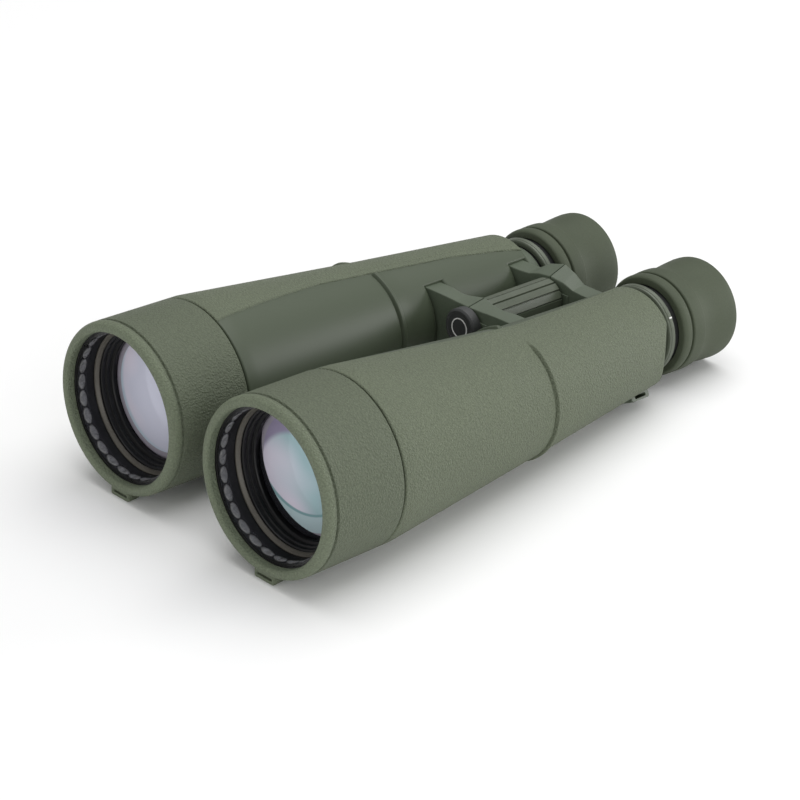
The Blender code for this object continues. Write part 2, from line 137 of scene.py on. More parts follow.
def assembled(name, meshes, material, body, replaced=(), sharp=32, bevel=0.0):
    """One piece from one or more closed skins, riding on its body in place of CAD nodes."""
    whole = bmesh.new()
    for mesh in meshes:
        whole.from_mesh(mesh)
    made = bpy.data.meshes.new(name)
    whole.to_mesh(made)
    whole.free()
    made.shade_smooth()
    made.set_sharp_from_angle(angle=math.radians(sharp))
    made.materials.append(material)
    piece = bpy.data.objects.new(name, made)
    bpy.context.scene.collection.objects.link(piece)
    if bevel:
        edge = piece.modifiers.new("edges", "BEVEL")
        edge.width = bevel * MM
        edge.segments = 3
        edge.angle_limit = math.radians(38)
    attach(piece, body)
    if replaced:
        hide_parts(*replaced)
    return piece


def put(tree, kind, inputs=None, **settings):
    """Adds a node, sets its properties, and links or sets its inputs."""
    node = tree.nodes.new(kind)
    for key, value in settings.items():
        setattr(node, key, value)
    for key, value in (inputs or {}).items():
        if isinstance(value, bpy.types.NodeSocket):
            tree.links.new(value, node.inputs[key])
        else:
            node.inputs[key].default_value = value
    return node


def effect(name, numbers, results):
    """An empty shader node group with named number inputs and named outputs."""
    group = bpy.data.node_groups.new(name, "ShaderNodeTree")
    for label, value in numbers.items():
        socket = group.interface.new_socket(name=label, in_out="INPUT",
                                            socket_type="NodeSocketFloat")
        socket.default_value = value
    for label in results:
        group.interface.new_socket(name=label, in_out="OUTPUT", socket_type="NodeSocketFloat")
    return group, group.nodes.new("NodeGroupInput"), group.nodes.new("NodeGroupOutput")


# Uneven wear: broad soft patches and fine specks, from 0 to 1, for colour and gloss.
wear, wear_in, wear_out = effect("uneven wear", {"Patch size": 60.0, "Speck size": 900.0},
                                 ["Patches", "Specks"])
place = put(wear, "ShaderNodeTexCoord").outputs["Object"]
patches = put(wear, "ShaderNodeTexNoise", {"Vector": place, "Scale": wear_in.outputs["Patch size"],
                                           "Detail": 3.0, "Roughness": 0.55})
specks = put(wear, "ShaderNodeTexNoise", {"Vector": place, "Scale": wear_in.outputs["Speck size"],
                                          "Detail": 2.0, "Roughness": 0.6})
for label, source in (("Patches", patches), ("Specks", specks)):
    spread = put(wear, "ShaderNodeMapRange",
                 {"Value": source.outputs[0], "From Min": 0.3, "From Max": 0.7})
    wear.links.new(spread.outputs[0], wear_out.inputs[label])


def worn(tree, patch_size, speck_size):
    made = put(tree, "ShaderNodeGroup", node_tree=wear)
    made.inputs["Patch size"].default_value = patch_size
    made.inputs["Speck size"].default_value = speck_size
    return made


def finish(name, dark, light, rough, metallic=0.0, patch_size=60.0, speck_size=900.0, bump=0.00001,
           grain=None, coat=0.0, specular=0.5):
    """A surface whose colour runs between two tones and whose gloss between two roughnesses."""
    material = bpy.data.materials.new(name)
    material.use_nodes = True
    tree = material.node_tree
    shader = tree.nodes["Principled BSDF"]
    wear_node = worn(tree, patch_size, speck_size)
    share = put(tree, "ShaderNodeMix", {"Factor": 0.45, "A": wear_node.outputs["Patches"],
                                        "B": wear_node.outputs["Specks"]})
    tone = put(tree, "ShaderNodeMix",
               {"Factor": share.outputs[0], "A": (*dark, 1), "B": (*light, 1)},
               data_type="RGBA")
    gloss = put(tree, "ShaderNodeMapRange", {"Value": wear_node.outputs["Patches"],
                                             "To Min": rough[0], "To Max": rough[1]})
    height = wear_node.outputs["Specks"]
    if grain:
        height = put(tree, "ShaderNodeGroup", {"Size": grain}, node_tree=pebble).outputs["Height"]
    relief = put(tree, "ShaderNodeBump", {"Height": height, "Distance": bump, "Strength": 1.0})
    tree.links.new(tone.outputs[2], shader.inputs["Base Color"])
    tree.links.new(gloss.outputs[0], shader.inputs["Roughness"])
    tree.links.new(relief.outputs[0], shader.inputs["Normal"])
    shader.inputs["Metallic"].default_value = metallic
    shader.inputs["Coat Weight"].default_value = coat
    shader.inputs["Specular IOR Level"].default_value = specular
    return material


black_anodised = finish("black anodised", (0.003, 0.003, 0.0035), (0.007, 0.007, 0.0075),
                        (0.3, 0.42),
                        patch_size=90, specular=0.3)

for side, sign in sides.items():
    tube = [(4.7, TUBE_R), (42.9, TUBE_R), (42.9, 34.6), (57.0, 34.6), (57.0, BORE_R),
            (9.6, BORE_R),
            (9.4, 33.9), (4.7, 34.1)]
    assembled(f"{side}_objective_tube_turned",
              [turned(tube, sign * OBJECTIVE_X, columns=256, ease=0.3)],
              black_anodised, f"{side}_half", [f"{side}_objective_tube"])


# ---------------------------------------------------------------------------------------------
# Rings in front of the objectives.  A scalloped black grip ring screws the tube in, a thin
# brown-grey ring behind it stops stray light, and the stepped cell holds the glass.
# ---------------------------------------------------------------------------------------------
SCALLOPS = 26
GRIP_Y = 7.3
GRIP_R = 33.2

scallop_metal = finish("scalloped metal", (0.1, 0.1, 0.105), (0.26, 0.26, 0.265), (0.24, 0.4),
                       metallic=0.15,
                       patch_size=260, speck_size=1500, bump=0.00004)
scallop_tree = scallop_metal.node_tree
pad_mark = put(scallop_tree, "ShaderNodeAttribute", attribute_name="pad").outputs["Fac"]
pad_source = scallop_tree.nodes["Principled BSDF"].inputs["Base Color"].links[0].from_socket
pad_tone = put(scallop_tree, "ShaderNodeMix", {"Factor": pad_mark, "A": (0.006, 0.006, 0.007, 1),
                                               "B": pad_source}, data_type="RGBA")
scallop_tree.links.new(pad_tone.outputs[2],
                       scallop_tree.nodes["Principled BSDF"].inputs["Base Color"])
brown_ring = finish("brown-grey ring", (0.085, 0.078, 0.066), (0.13, 0.12, 0.1), (0.4, 0.5),
                    metallic=0.2)


def bell(distance, width):
    """Height of 1 falling away on both sides: exp(-(distance / width)^2)."""
    return np.exp(-(distance / width) ** 2)


def scalloped_ring(x):
    """The grip ring's inner face: radius = ring radius less an oval pad's height, where the pad's
    height is the root of 1 - (arc / half length)^1.7 - (depth / half width)^2."""
    columns = SCALLOPS * 28
    angle = np.arange(columns) * 2 * np.pi / columns
    y = np.concatenate([np.linspace(4.9, 9.9, 31), [9.9, 4.9]])[:, None]
    arc = (angle * SCALLOPS / (2 * np.pi) + 0.5) % 1 - 0.5
    inside = 1 - np.abs(arc / 0.5) ** 1.7 - ((y - GRIP_Y) / 1.95) ** 2
    pad = np.sqrt(np.clip(inside, 0, None))
    radius = GRIP_R - 0.2 - 0.8 * pad + 0.5 * bell(arc, 0.2) * pad
    radius[-2:] = 34.0
    return skin(placed(x + radius * np.cos(angle), y + 0 * angle, radius * np.sin(angle)),
                marks={"pad": np.clip(inside * 4.0, 0, 1)})


for side, sign in sides.items():
    x = sign * OBJECTIVE_X
    body = f"{side}_half"
    assembled(f"{side}_scalloped_ring", [scalloped_ring(x)], scallop_metal, body,
              [f"{side}_grip_ring"])
    stray = [(13.9, 33.1), (16.0, 33.1), (16.0, 31.5), (15.5, 31.4), (14.0, 32.4)]
    assembled(f"{side}_stray_ring_turned", [turned(stray, x, columns=256, ease=0.2)], brown_ring,
              body,
              [f"{side}_stray_light_ring"])
    step_r = np.array([31.3, 30.6, 30.6, 29.7, 29.7, 28.6, 28.2, 28.2])
    step_y = np.array([16.3, 16.6, 18.3, 18.5, 20.4, 20.6, 21.1, 22.8])
    cell = [(16.2, 32.9), (36.0, 32.9), (36.0, 29.3),
            (22.9, 29.3)] + list(zip(step_y, step_r))[::-1]
    assembled(f"{side}_cell_turned", [turned(cell, x, columns=256, ease=0.12)], black_anodised,
              body,
              [f"{side}_objective_cell"])


# ---------------------------------------------------------------------------------------------
# Objective doublets.  A crown lens over a flint lens, with anti-reflection coatings that throw back
# pale blue and lilac, held by a black screw ring at the back of the cell.  The crown lens colour is
# painted reflection: the pale blue and lilac of the coatings and a dark reflection of the ring.
# ---------------------------------------------------------------------------------------------
LENS_R = 28.9


def lens_skin(front_y, rear_y, front_curve, rear_curve, radius, x, columns=160):
    """Two shallow bowls and a ground edge: y = vertex + height^2 / (2 x curvature radius)."""
    front_height = radius * np.linspace(0, 1, 26)
    rear_height = front_height[::-1]
    height = np.concatenate([front_height, rear_height])[:, None]
    y = np.concatenate([front_y + front_height ** 2 / (2 * front_curve),
                        rear_y + rear_height ** 2 / (2 * rear_curve)])[:, None]
    angle = np.arange(columns) * 2 * np.pi / columns
    return skin(placed(x + height * np.cos(angle), y + 0 * angle, height * np.sin(angle)),
                looped=False)


def toned_glass(name, x, y, tones, clear, gloss):
    """Glass with a coating: two tones in soft clouds, then further tones beyond given circles; on the
    crown lenses these tones are painted reflections.
    """
    material = bpy.data.materials.new(name)
    material.use_nodes = True
    tree = material.node_tree
    shader = tree.nodes["Principled BSDF"]
    place = put(tree, "ShaderNodeTexCoord").outputs["Object"]
    def patch(shift_x, shift_z, radius, soft):
        centre = placed(x + shift_x, y, shift_z)
        away = put(tree, "ShaderNodeVectorMath", {0: place, 1: tuple(centre)}, operation="DISTANCE")
        return put(tree, "ShaderNodeMapRange",
                   {"Value": away.outputs["Value"], "From Min": radius * MM,
                                                "From Max": (radius + soft) * MM},
                   interpolation_type="SMOOTHSTEP").outputs[0]
    cloud = put(tree, "ShaderNodeTexNoise",
                {"Vector": place, "Scale": 28.0, "Detail": 1.0}).outputs[0]
    cloud = put(tree, "ShaderNodeMapRange",
                {"Value": cloud, "From Min": 0.38, "From Max": 0.62}).outputs[0]
    tone = put(tree, "ShaderNodeMix", {"Factor": cloud, "A": (*tones[0], 1), "B": (*tones[1], 1)},
               data_type="RGBA").outputs[2]
    for (shift_x, shift_z, radius, soft), colour in tones[2]:
        tone = put(tree, "ShaderNodeMix", {"Factor": patch(shift_x, shift_z, radius, soft),
                                           "A": tone, "B": (*colour, 1)},
                                           data_type="RGBA").outputs[2]
    tree.links.new(tone, shader.inputs["Base Color"])
    shader.inputs["Roughness"].default_value = 0.05
    shader.inputs["IOR"].default_value = 1.5
    shader.inputs["Transmission Weight"].default_value = clear
    shader.inputs["Specular IOR Level"].default_value = gloss
    shader.inputs["Specular Tint"].default_value = (0.75, 0.82, 1.0, 1.0)
    return material


# Painted reflections for the crown lenses: two cloud tones, then circles (shift across, shift up,
# radius, softness) with the tone beyond.
LILAC_EDGE = ((0.5, 0.6, 26.0, 0.3), (0.40, 0.37, 0.43))
CROWN_PAINTED_REFLECTIONS = {
    "left": ((0.42, 0.61, 0.65), (0.84, 0.79, 0.92),
             [((2, -15, 31.0, 3.0), (0.36, 0.32, 0.46)), ((-3, 15, 32.0, 0.8), (0.26, 0.44, 0.47)),
              ((-4, 16, 34.5, 0.7), (0.55, 0.70, 0.74)), LILAC_EDGE,
              ((5, 7, 32.0, 0.5), (0.02, 0.02, 0.024))]),
    "right": ((0.70, 0.71, 0.84), (0.90, 0.83, 0.95),
              [((4, 3, 26.5, 3.0), (0.56, 0.68, 0.78)), LILAC_EDGE]),
}
for side, sign in sides.items():
    x = sign * OBJECTIVE_X
    body = f"{side}_half"
    # The crown lens colour is painted reflection, taken from the table above.
    crown_glass = toned_glass(f"{side} crown painted reflections", x, 22.0, CROWN_PAINTED_REFLECTIONS[side], 0.06, 0.35)
    assembled(f"{side}_crown_lens", [lens_skin(21.2, 29.2, 165, -130, LENS_R, x)], crown_glass,
              body,
              [f"{side}_crown_element"])
clear_coated = toned_glass("rear coating", 0, 30.0, ((0.6, 0.7, 0.8), (0.7, 0.7, 0.85), []), 0.9,
                            0.5)
for side in sides:
    nodes[f"{side}_flint_element"].data.materials[0] = clear_coated
    nodes[f"{side}_objective_lock_ring"].data.materials[0] = black_anodised


# ---------------------------------------------------------------------------------------------
# Body castings.  Each half is one light-alloy casting: a thin tapered shell that runs into the
# prism housing, with the two bridge arms and the hinge knuckles cast on and painted green.
# ---------------------------------------------------------------------------------------------
BARREL_R = 39.3
TAPER_START = 48.6
TAPER_SLOPE = 0.0951
HOUSING_START = 152.8
HOUSING_SLOPE = 0.0575
HOUSING_SHIFT = 0.067
BODY_END = 235.5
SHOULDER_Y = 229.0
EYEPIECE_X = 37.35
HUB_R = 6.9
HUB_CLEAR_R = 7.5
CASTING_INSET = 2.1
CASTING_WALL = 2.0
FRONT_ARM_Y = (167.0, 177.7)
REAR_ARM_Y = (222.5, 232.9)


def barrel_radius(y):
    """Radius of the barrel: straight to the start of the taper, then falling at two slopes."""
    return (BARREL_R - TAPER_SLOPE * np.clip(np.minimum(y, HOUSING_START) - TAPER_START, 0, None)
            - HOUSING_SLOPE * np.clip(y - HOUSING_START, 0, None))


def barrel_x(y):
    """Sideways place of the left barrel's centre: it moves inwards over the prism housing."""
    return OBJECTIVE_X - HOUSING_SHIFT * np.clip(y - HOUSING_START, 0, None)


def casting_shell(sign, columns=128):
    """Circles along the barrel, outside and back through the inside, joined in a closed wall."""
    outer_y = np.array([43.2, TAPER_START, HOUSING_START, SHOULDER_Y])
    inner_y = np.array([SHOULDER_Y - 1, HOUSING_START, 57.5])
    neck = np.array([(235.0, 21.6, 40.8), (235.3, 19.6, 38.6), (237.0, 19.0, 37.6),
                     (241.5, 19.0, EYEPIECE_X),
                     (241.9, 18.7, EYEPIECE_X), (241.9, 16.0, EYEPIECE_X),
                     (238.6, 16.0, EYEPIECE_X),
                     (238.6, 17.2, 37.6), (234.0, 18.0, 39.6)])
    y = np.concatenate([outer_y, neck[:, 0], inner_y, [57.5, 43.2]])
    radius = np.concatenate([barrel_radius(outer_y) - CASTING_INSET, neck[:, 1],
                             barrel_radius(inner_y) - CASTING_INSET - CASTING_WALL,
                             [34.9, 34.9]])
    x = np.concatenate([barrel_x(outer_y), neck[:, 2], barrel_x(inner_y), [OBJECTIVE_X] * 2])
    angle = np.arange(columns) * 2 * np.pi / columns
    y, radius, x = y[:, None], radius[:, None], x[:, None]
    return skin(placed(sign * (x + radius * np.cos(angle)), y + 0 * angle, radius * np.sin(angle)))


def bridge_arm(sign, front, rear, waist, top_front, top_rear, low):
    """An arm drawn as sections across its run from the split line to the barrel.  Each section is
    a four-cornered outline, eased; it is cut back over the hub by z = hinge + root(r^2 - x^2)."""
    x = np.array([0.3, 0.31, 1.5, 3, 4.5, 6, 7.0, 7.35, 7.5, 8.5, 9.5, 11, 12.5, 14, 16, 18, 20,
                  24, 30, 30.01])
    share = np.clip(x / 20.0, 0, 1)
    over_hub = HINGE_Z + np.sqrt(np.clip(HUB_CLEAR_R ** 2 - x ** 2, 0, None))
    low_z = np.where(x < 7.45, over_hub, np.interp(x, [4, 18], [4.0, low]))
    rear_y = rear - waist * np.sin(np.pi * share) ** 1.3
    front_y = front + 0.35 * waist * np.sin(np.pi * share)
    crown_x, front_z, rear_z = (np.array(column) for column in zip(*[
        (station, a, b) for station, a, b in zip((0, 8, 14, 20), top_front, top_rear)]))
    top_f = np.interp(x, crown_x, front_z)
    top_r = np.interp(x, crown_x, rear_z)
    corners = np.stack([np.stack([front_y, low_z], -1), np.stack([rear_y, low_z], -1),
                        np.stack([rear_y, top_r], -1), np.stack([front_y, top_f], -1)], axis=1)
    rounded = eased(corners, 0.55, steps=8)
    middle = rounded.mean(axis=1, keepdims=True)
    inset = np.where(np.arange(len(x)) == 0, 0.96, 1.0)[:, None, None]
    rounded = middle + (rounded - middle) * inset
    caps = np.repeat(middle, rounded.shape[1], axis=1)
    rounded = np.concatenate([caps[:1], rounded, caps[-1:]])
    x = np.concatenate([x[:1], x, x[-1:]])[:, None]
    return skin(placed(sign * x, rounded[..., 0], rounded[..., 1]), looped=False)


def knuckle(sign, y0, y1, half=3.7):
    """A round hub with a tab reaching into its arm: one outline in x and z, carried from y0 to y1
    with its ends drawn in by a quarter of a millimetre."""
    start = math.asin(half / HUB_R)
    turn = np.linspace(start, 2 * np.pi - start, 64)
    ring_x = np.concatenate([HUB_R * np.cos(turn), [12.0, 12.0]])
    ring_z = np.concatenate([HUB_R * np.sin(turn), [-half, half]])
    scale = np.array([0.0, 0.96, 1.0, 1.0, 0.96, 0.0])[:, None]
    y = np.array([y0, y0, y0 + 0.25, y1 - 0.25, y1, y1])[:, None]
    return skin(placed(sign * ring_x * scale, y + 0 * ring_x, HINGE_Z + ring_z * scale),
                looped=False)


bridge_paint = finish("bridge paint", (0.068, 0.088, 0.058), (0.096, 0.120, 0.082), (0.4, 0.5),
                      patch_size=40, speck_size=1600, bump=0.000012)
knuckle_rows = {"left": [(167.0, 168.7), (176.65, 177.7), (222.5, 225.6), (229.8, 232.9)],
                "right": [(169.0, 170.65), (225.9, 229.5)]}
for side, sign in sides.items():
    front_arm = bridge_arm(sign, *FRONT_ARM_Y, 1.7, (19.7, 19.6, 20.0, 20.4),
                           (21.6, 20.6, 20.0, 20.0), -7.0)
    rear_arm = bridge_arm(sign, *REAR_ARM_Y, 1.5, (20.7, 19.6, 17.8, 17.6),
                          (24.4, 22.6, 18.6, 17.8), -6.0)
    hubs = [knuckle(sign, y0, y1) for y0, y1 in knuckle_rows[side]]
    assembled(f"{side}_casting_with_arms", [casting_shell(sign), front_arm, rear_arm, *hubs],
              bridge_paint,
              f"{side}_half", [f"{side}_body_casting"], sharp=14)


# ---------------------------------------------------------------------------------------------
# Focus and prism groups.  Inside each barrel a sliding lens in a black cell is pushed by a grey
# arm from the centre screw, and a pair of glass prisms stands in a black cradle.
# ---------------------------------------------------------------------------------------------
grey_metal = finish("grey metal", (0.16, 0.155, 0.145), (0.24, 0.235, 0.22), (0.32, 0.45),
                    metallic=0.8,
                    patch_size=120, speck_size=2200)
clear_glass = toned_glass("polished glass", 0, 200.0,
                           ((0.88, 0.93, 0.95), (0.93, 0.95, 0.96), []), 1.0, 0.5)
for side in sides:
    for name, material in (("focus_cell", black_anodised), ("focus_arm", grey_metal),
                           ("focus_lens", clear_coated), ("plain_prism", clear_glass),
                           ("roof_prism", clear_glass), ("prism_cradle", black_anodised),
                           ("field_lens_cell", black_anodised), ("field_lens", clear_glass)):
        nodes[f"{side}_{name}"].data.materials[0] = material


# ---------------------------------------------------------------------------------------------
# Hinge and focus screw.  A steel pin through bronze bushes joins the halves, with a black ring
# nut at the back, and the brass focus screw and its nut turn round the pin.
# ---------------------------------------------------------------------------------------------
brass = finish("machined brass", (0.5, 0.36, 0.14), (0.66, 0.5, 0.22), (0.25, 0.38), metallic=1.0,
               patch_size=150, speck_size=2600)
for name, material in (("hinge_pin", grey_metal), ("front_hinge_bush", brass),
                       ("rear_hinge_bush", brass),
                       ("focus_screw", brass), ("focus_nut", brass)):
    nodes[name].data.materials[0] = material
nut = [(233.2, 6.4), (236.0, 6.4), (236.6, 5.7), (236.6, 2.8), (233.2, 2.8)]
assembled("hinge_nut_turned", [turned(nut, 0, HINGE_Z, 96, ease=0.3)], black_anodised, "left_half",
          ["hinge_nut"])


# ---------------------------------------------------------------------------------------------
# Focus wheel.  A black core carries a green rubber grip with broad lengthwise flats and a narrow
# groove between each pair, moulded on and softened at both ends.
# ---------------------------------------------------------------------------------------------
WHEEL_R = 9.5
WHEEL_FLATS = 14
WHEEL_Y = (178.2, 222.0)

wheel_rubber = finish("wheel rubber", (0.064, 0.079, 0.053), (0.094, 0.112, 0.078), (0.34, 0.46),
                      speck_size=1500, bump=0.000015)


def ribbed_grip(columns_each=30):
    """Radius = flat chord / cos(angle from its middle), less a groove of 1 mm where the angle is
    within a tenth of a pitch of its edge, less a rounding of the two ends."""
    pitch = 2 * np.pi / WHEEL_FLATS
    share = (np.arange(columns_each) + 0.5) / columns_each - 0.5
    share = np.sign(share) * 0.5 * (1 - (1 - 2 * np.abs(share)) ** 1.3)
    share = np.tile(share, WHEEL_FLATS)
    angle = (np.repeat(np.arange(WHEEL_FLATS), columns_each) + share) * pitch
    chord = (WHEEL_R - 0.02) * math.cos(0.40 * pitch) / np.cos(share * pitch)
    groove = np.clip((np.abs(share) - 0.405) / 0.045, 0, 1)
    groove = groove * groove * (3 - 2 * groove)
    y = np.concatenate([WHEEL_Y[0] + np.array([0, 0.05, 0.25, 0.6, 1.1]), np.linspace(182, 218, 10),
                        WHEEL_Y[1] - np.array([1.1, 0.6, 0.25, 0.05, 0])])
    nearest = np.minimum(y - WHEEL_Y[0], WHEEL_Y[1] - y)
    rounding = 0.8 * (1 - np.sqrt(np.clip(1 - (1 - np.clip(nearest / 1.0, 0, 1)) ** 2, 0, 1)))
    radius = chord[None, :] - 0.95 * groove[None, :] - rounding[:, None]
    radius = np.vstack([radius, np.full((2, len(angle)), 8.1)])
    y = np.concatenate([y, WHEEL_Y[::-1]])[:, None]
    return skin(placed(radius * np.cos(angle), y + 0 * angle, HINGE_Z + radius * np.sin(angle)))


assembled("focus_wheel_grip_ribbed", [ribbed_grip()], wheel_rubber, "focus_wheel",
          ["focus_wheel_grip"], sharp=28)
core = [(178.1, 7.9), (222.1, 7.9), (222.1, 4.1), (178.1, 4.1)]
assembled("focus_wheel_core_turned", [turned(core, 0, HINGE_Z, 96, ease=0.3)], black_anodised,
          "focus_wheel", ["focus_wheel_core"])


# ---------------------------------------------------------------------------------------------
# Tripod insert and its cap.  A grey metal insert takes a tripod adapter, under a screw-on cap of
# matt black plastic with a fine moulded rim and a plain printed ring.
# ---------------------------------------------------------------------------------------------
cap_plastic = finish("cap plastic", (0.028, 0.03, 0.03), (0.042, 0.044, 0.043), (0.42, 0.55),
                     speck_size=2400, bump=0.00002)
white_print = finish("white print", (0.7, 0.7, 0.68), (0.78, 0.78, 0.76), (0.5, 0.6))
insert = [(162.9, 7.2), (166.7, 7.2), (166.7, 3.1), (162.9, 3.1)]
assembled("tripod_insert_turned", [turned(insert, 0, HINGE_Z, 96)], grey_metal, "left_half",
          ["tripod_insert"])
cap = [(161.62, 0), (161.62, 7.4), (161.4, 7.7), (161.4, 8.3), (162.2, 9.25), (166.6, 9.25),
       (166.6, 7.5),
       (162.6, 7.5), (162.6, 0)]
assembled("hinge_cap_moulded", [turned(cap, 0, HINGE_Z, 128, ease=0.3)], cap_plastic, "hinge_cap",
          ["hinge_cap"])
ring_print = [(161.5, 4.9), (161.7, 4.9), (161.7, 4.3), (161.5, 4.3)]
assembled("cap_printed_ring", [turned(ring_print, 0, HINGE_Z, 96, ease=0.05)], white_print,
          "hinge_cap")


# ---------------------------------------------------------------------------------------------
# Barrel armour.  A moulded green rubber skin: pebbled outside, with a raised rib, and a smooth
# satin panel along the inner side, let in behind a fine line that runs the length of the barrel.
# ---------------------------------------------------------------------------------------------
RIB_Y = 144.9
RIB_TOP_ANGLE = 74
ARMOUR_THICK = 1.8
PEBBLES_PER_METRE = 1150.0
ARMOUR_START = 42.9
CORNER_CUT = 206.8
WARP_START = 214.0
LINE_Y = [42, 78, 111, 142, 162, 193, 223, 236]
LINE_ANGLE = [114, 107, 102, 103, 104, 105.4, 113.2, 119]

# Pebble grain: small rounded cells of moulded rubber, from 0 in the creases to 1 on top.
pebble, pebble_in, pebble_out = effect("pebble grain", {"Size": 1.0}, ["Height"])
place = put(pebble, "ShaderNodeTexCoord").outputs["Object"]
cell_scale = put(pebble, "ShaderNodeMath", {0: PEBBLES_PER_METRE, 1: pebble_in.outputs["Size"]},
                 operation="DIVIDE")
cells = put(pebble, "ShaderNodeTexVoronoi", {"Vector": place, "Scale": cell_scale.outputs[0]},
            feature="SMOOTH_F1")
cells.inputs["Smoothness"].default_value = 0.7
crumple = put(pebble, "ShaderNodeTexNoise", {"Vector": place, "Scale": 1400.0, "Detail": 2.0})
domes = put(pebble, "ShaderNodeMath", {0: 1.0, 1: cells.outputs["Distance"]}, operation="SUBTRACT")
both = put(pebble, "ShaderNodeMath", {0: domes.outputs[0], 1: crumple.outputs[0]},
           operation="MULTIPLY")
pebble.links.new(both.outputs[0], pebble_out.inputs["Height"])


def armour_material(name, dark, light, panel, bump):
    """Green rubber whose `panel` mark fades the pebbles out and turns to a smooth satin in a darker
    tone, which is painted shade on the inner side between the barrels.
    """
    material = finish(name, dark, light, (0.58, 0.7), patch_size=22, speck_size=1900, bump=bump,
                      grain=1.0,
                      specular=0.4)
    tree = material.node_tree
    shader = tree.nodes["Principled BSDF"]
    mark = put(tree, "ShaderNodeAttribute", attribute_name="panel").outputs["Fac"]
    relief = shader.inputs["Normal"].links[0].from_node
    height = relief.inputs["Height"].links[0].from_socket
    # The colour is scaled by the grain height, from 0.8 in the creases to 1.1 on the pebble tops:
    # painted shade in the creases and a painted highlight on the tops.
    crease_shade = put(tree, "ShaderNodeMapRange", {"Value": height, "From Min": 0.15, "From Max": 0.5,
                                              "To Min": 0.8, "To Max": 1.1})
    colour = shader.inputs["Base Color"].links[0].from_socket
    grain_shaded_tone = put(tree, "ShaderNodeVectorMath", {0: colour, "Scale": crease_shade.outputs[0]},
                  operation="SCALE")
    # On the panel the colour is the darker panel tone: painted shade on the inner side that faces the
    # other barrel.
    mixed = put(tree, "ShaderNodeMix", {"Factor": mark, "A": grain_shaded_tone.outputs[0], "B": (*panel, 1)},
                data_type="RGBA")
    tree.links.new(mixed.outputs[2], shader.inputs["Base Color"])
    gloss = shader.inputs["Roughness"].links[0].from_socket
    satin = put(tree, "ShaderNodeMix", {"Factor": mark, "A": gloss, "B": 0.46})
    tree.links.new(satin.outputs[0], shader.inputs["Roughness"])
    left_over = put(tree, "ShaderNodeMath", {0: 1.0, 1: mark}, operation="SUBTRACT")
    faded = put(tree, "ShaderNodeMath", {0: height, 1: left_over.outputs[0]}, operation="MULTIPLY")
    tree.links.new(faded.outputs[0], relief.inputs["Height"])
    return material


# The third tone, for the inner panel, is darker as painted shade between the barrels.
armour_rubber = armour_material("armour rubber", (0.116, 0.138, 0.089), (0.134, 0.157, 0.103),
                                (0.063, 0.080, 0.050), 0.0008)


def armour_skin(sign):
    """Radius = barrel radius + rib - panel step - fine line - grooves round the bridge arms.  The
    last stretch is drawn in along y to end on the plane 0.72 x + 0.69 y = 206.8 on the outer side."""
    angle = np.concatenate([np.linspace(0, 88, 56, endpoint=False),
                            np.linspace(88, 132, 130, endpoint=False),
                            np.linspace(132, 210, 110, endpoint=False),
                            np.linspace(210, 360, 79, endpoint=False)])
    edges = FRONT_ARM_Y + REAR_ARM_Y
    outer_y = np.unique(np.round(np.concatenate(
        [np.arange(44.0, 233.6, 2.2), np.linspace(141.6, 148.2, 45), [42.9, 43.0, 43.2, 43.5],
         np.linspace(234.3, BODY_END, 9)] + [np.linspace(edge - 1.1, edge + 1.1,
                                                         9) for edge in edges]), 4))
    y = outer_y[:, None]
    around = angle[None, :]
    radius = barrel_radius(y) + 0 * around
    radius = radius - 0.6 * np.clip((43.5 - y) / 0.6, 0, 1) ** 2
    radius = radius - 0.8 * np.clip((y - 234.4) / 1.1, 0, 1) ** 2
    line = np.interp(y, LINE_Y, LINE_ANGLE)
    past = np.minimum(around - line, (360 - line) - around) * np.pi / 180 * radius
    panel = np.clip(past / 0.5 + 0.5, 0, 1)
    panel = panel * panel * (3 - 2 * panel)
    second = np.clip((y - 118) / 20, 0, 1) * np.where(past < 0, 1,
                                                      0) * np.clip((150 - around) / 20, 0, 1)
    radius = radius - 0.35 * panel - 0.45 * bell(past, 0.36) - 0.3 * second * bell(past + 3.4, 0.3)
    top_fade = np.clip((RIB_TOP_ANGLE - around) / 14, 0, 1) + np.clip((around - 290) / 4, 0, 1)
    top_fade = np.clip(top_fade, 0, 1)
    ribbed = np.clip(np.maximum(top_fade, np.clip((around - line) / 3, 0, 1)), 0, 1)
    radius = radius + ribbed * (1.15 * np.exp(-((y - RIB_Y) / 1.2) ** 6) - 0.7 * bell(y - 143.1,
                                                                                      0.4))
    height = radius * np.sin(np.radians(around))
    inner = np.clip((around - 95) / 3, 0, 1) * np.clip((260 - around) / 3, 0, 1)
    for (y0, y1), (low, high) in ((FRONT_ARM_Y, (-7.0, 20.3)), (REAR_ARM_Y, (-6.0, 17.9))):
        outside = np.maximum(np.abs(y - (y0 + y1) / 2) - (y1 - y0) / 2,
                             np.abs(height - (low + high) / 2) - (high - low) / 2)
        radius = radius - 1.5 * inner * bell(outside - 0.35, 0.5)
    inner_y = np.array([BODY_END, WARP_START, HOUSING_START, TAPER_START, ARMOUR_START])[:, None]
    inside = barrel_radius(inner_y) - ARMOUR_THICK + 0 * around
    radius = np.vstack([radius, inside])
    y = np.vstack([y, inner_y])
    panel = np.vstack([panel, np.ones_like(inside)])
    turn = np.radians(around)
    x = barrel_x(y) + radius * np.cos(turn)
    end = np.clip((CORNER_CUT - 0.72 * x) / 0.69, None, BODY_END)
    shift = np.clip((y - WARP_START) / (BODY_END - WARP_START), 0, 1) * (end - BODY_END)
    return skin(placed(sign * x, y + shift, radius * np.sin(turn)), marks={"panel": panel})


for side, sign in sides.items():
    assembled(f"{side}_armour_moulded", [armour_skin(sign)], armour_rubber, f"{side}_half",
              [f"{side}_barrel_armour"], sharp=60)


